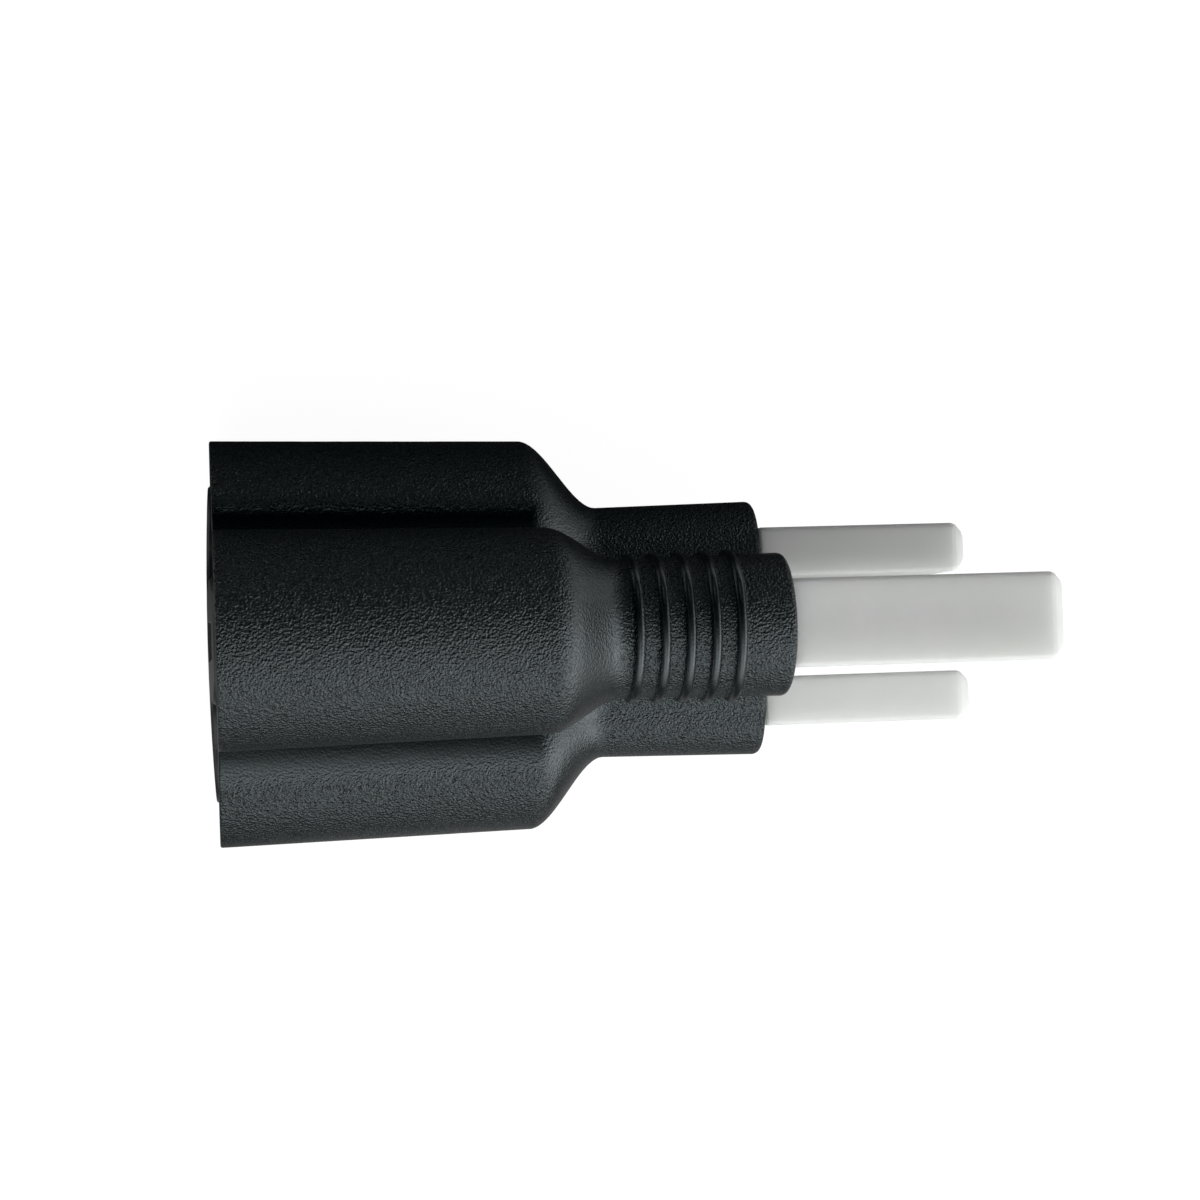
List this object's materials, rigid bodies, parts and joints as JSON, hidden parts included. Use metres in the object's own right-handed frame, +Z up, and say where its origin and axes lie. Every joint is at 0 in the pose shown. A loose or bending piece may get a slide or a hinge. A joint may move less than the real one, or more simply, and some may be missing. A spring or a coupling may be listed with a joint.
{
  "type": "plug adapter",
  "caption": "Black moulded in-line plug adapter: three-lobed socket, smooth shoulder and round bosses with plug pins under milky pull-off protective caps.",
  "frame": {"origin": "centre of the bounding box in plan, on the surface the adapter lies on", "axes": "+X along the plug axis, from the socket face out along the pins; +Z up, on the earth side; +Y across, toward the line blade"},
  "size_m": [0.0698, 0.0342, 0.032],
  "materials": {
    "body_pvc": "fine leather grain, soft black moulding",
    "carrier_plastic": "smooth moulded black",
    "inner_plastic": "plain natural moulding",
    "contact_brass": "rolled strip",
    "copper": "drawn copper",
    "pin_nickel": "nickel plated",
    "cap_pe": "milky translucent moulding"
  },
  "bodies": {
    "adapter": {"outer_body": "body_pvc", "socket_insert": "carrier_plastic", "insert_cover": "inner_plastic", "pin_bridge": "inner_plastic", "line_contact": "contact_brass", "neutral_contact": "contact_brass", "earth_contact": "contact_brass", "line_conductor": "copper", "neutral_conductor": "copper", "earth_conductor": "copper", "line_blade": "pin_nickel", "neutral_blade": "pin_nickel", "earth_pin": "pin_nickel"},
    "line_cover": {"line_cap": "cap_pe"},
    "neutral_cover": {"neutral_cap": "cap_pe"},
    "earth_cover": {"earth_cap": "cap_pe"}
  },
  "joints": [
    {"name": "line_cap_pull", "type": "slide", "parent": "adapter", "child": "line_cover", "axis": [1, 0, 0], "range_m": [0, 0.021]},
    {"name": "neutral_cap_pull", "type": "slide", "parent": "adapter", "child": "neutral_cover", "axis": [1, 0, 0], "range_m": [0, 0.021]},
    {"name": "earth_cap_pull", "type": "slide", "parent": "adapter", "child": "earth_cover", "axis": [1, 0, 0], "range_m": [0, 0.026]}
  ]
}
